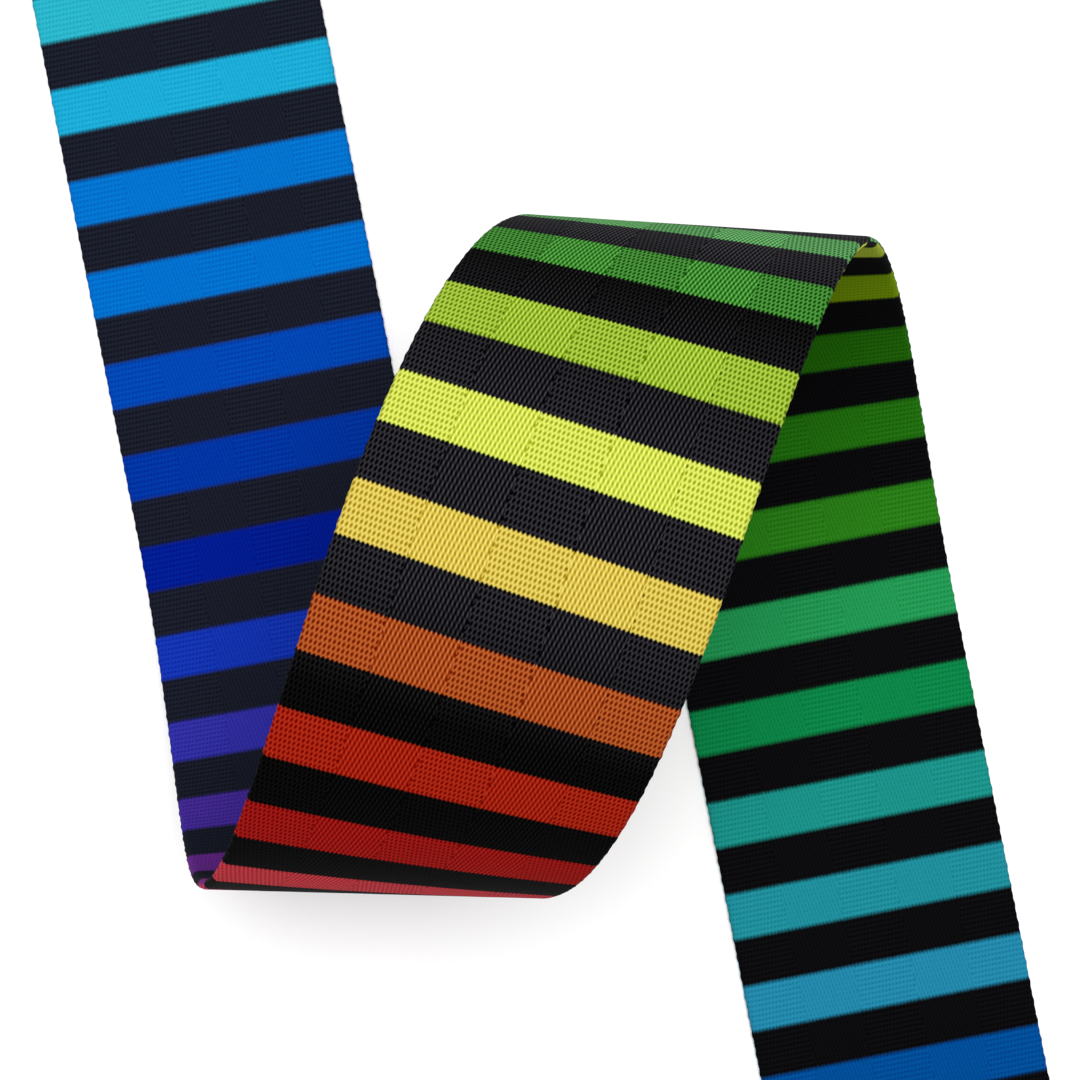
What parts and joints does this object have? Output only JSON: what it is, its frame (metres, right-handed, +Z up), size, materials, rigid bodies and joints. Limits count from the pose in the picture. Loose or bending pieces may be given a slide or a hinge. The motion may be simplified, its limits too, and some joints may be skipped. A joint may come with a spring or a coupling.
{
  "type": "luggage strap",
  "caption": "Wide luggage strap of striped woven webbing with a standing open turn, a rolled spare length, a side-release buckle and a sliding adjuster.",
  "frame": {"origin": "on the surface the strap lies on, under the middle of the webbing where the first flat run starts to rise into the standing turn", "axes": "+Z up from the surface, +X roughly along the axis of the standing turn, +Y roughly back along the first flat run towards the buckle socket"},
  "size_m": [0.2647, 0.5967, 0.1003],
  "materials": {
    "webbing": "flat woven webbing printed in cross stripes that run through the rainbow on black",
    "buckle_plastic": "black moulded acetal with a fine matt texture",
    "thread": "black bonded sewing thread"
  },
  "bodies": {
    "strap": {"webbing_turn": "webbing", "webbing_socket_end": "webbing", "webbing_roll": "webbing", "socket_seam_needle_thread": "thread", "socket_seam_bobbin_thread": "thread"},
    "socket": {"buckle_socket": "buckle_plastic"},
    "adjuster": {"three_bar_adjuster": "buckle_plastic", "webbing_adjuster_lower": "webbing", "webbing_adjuster_upper": "webbing", "adjuster_seam_needle_thread": "thread", "adjuster_seam_bobbin_thread": "thread"},
    "plug_loop": {"webbing_plug_loop": "webbing"},
    "plug": {"buckle_plug": "buckle_plastic"},
    "arm_left": {"latch_arm_left": "buckle_plastic"},
    "arm_right": {"latch_arm_right": "buckle_plastic"}
  },
  "joints": [
    {"name": "socket_swivel", "type": "hinge", "parent": "strap", "child": "socket", "pos_m": [-0.03284, 0.1668, 0.0075], "axis": [0.9812, 0.1932, 0], "range_deg": [0, 80]},
    {"name": "adjuster_slide", "type": "slide", "parent": "strap", "child": "adjuster", "axis": [0.1932, -0.9812, 0], "range_m": [-0.01, 0.01], "deforming": ["webbing_adjuster_lower", "webbing_adjuster_upper"]},
    {"name": "plug_follow", "type": "slide", "parent": "adjuster", "child": "plug_loop", "axis": [0.1932, -0.9812, 0], "range_m": [-0.005, 0.005]},
    {"name": "plug_swivel", "type": "hinge", "parent": "plug_loop", "child": "plug", "pos_m": [0.14972, -0.29663, 0.006], "axis": [-0.9812, -0.1932, 0], "range_deg": [0, 80]},
    {"name": "latch_left_flex", "type": "hinge", "parent": "plug", "child": "arm_left", "pos_m": [0.17396, -0.32141, 0.006], "axis": [0, 0, -1], "range_deg": [0, 9], "stiffness_Nm_per_rad": 1},
    {"name": "latch_right_flex", "type": "hinge", "parent": "plug", "child": "arm_right", "pos_m": [0.13668, -0.32876, 0.006], "axis": [0, 0, 1], "range_deg": [0, 9], "stiffness_Nm_per_rad": 1}
  ],
  "couplings": [
    {"joint": "plug_follow", "follows": "adjuster_slide", "ratio": -0.5}
  ]
}
